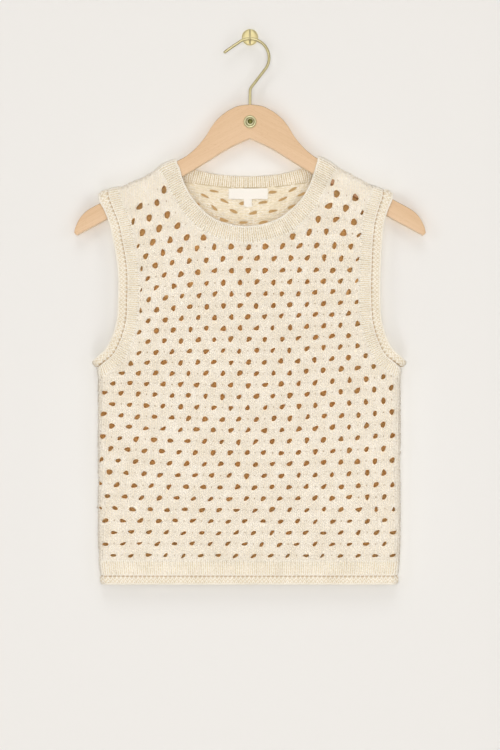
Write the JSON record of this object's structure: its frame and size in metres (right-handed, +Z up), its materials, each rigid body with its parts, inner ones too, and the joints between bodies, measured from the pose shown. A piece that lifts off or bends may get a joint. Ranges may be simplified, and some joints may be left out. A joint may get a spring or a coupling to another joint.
{
  "type": "openwork knit vest on a wooden hanger and wall hook",
  "caption": "Sleeveless cream openwork knit vest with ribbed neck, armholes and hem, hung on a flat wooden hanger from a small brass wall hook.",
  "frame": {"origin": "on the wall rosette's back face, where it meets the wall, 3.2 mm under its centre", "axes": "+Z up, +Y into the wall, +X to the right of someone who looks at the wall"},
  "size_m": [0.442, 0.0281, 0.7009],
  "materials": {
    "openwork_knit": "matte cream cotton yarn, knitted with open holes",
    "rib_knit": "matte cream cotton yarn, ribbed",
    "turned_edge": "matte cream cotton yarn, slanted stitches over a turned edge",
    "woven_label": "smooth white woven tape, bare",
    "beech": "satin clear lacquer on pale beech",
    "pale_brass": "polished pale brass plating",
    "aged_brass": "dull olive brass"
  },
  "bodies": {
    "root": {"front_panel": "openwork_knit", "back_panel": "openwork_knit", "neckband": "rib_knit", "armband_left": "rib_knit", "armband_right": "rib_knit", "armhole_rim_left": "turned_edge", "armhole_rim_right": "turned_edge", "hem_band": "rib_knit", "hem_rim": "turned_edge", "neck_label": "woven_label", "size_label": "woven_label", "hanger_body": "beech", "hanger_hook": "pale_brass", "hanger_rivet": "aged_brass", "wall_rosette": "pale_brass", "wall_peg": "pale_brass"}
  },
  "joints": []
}
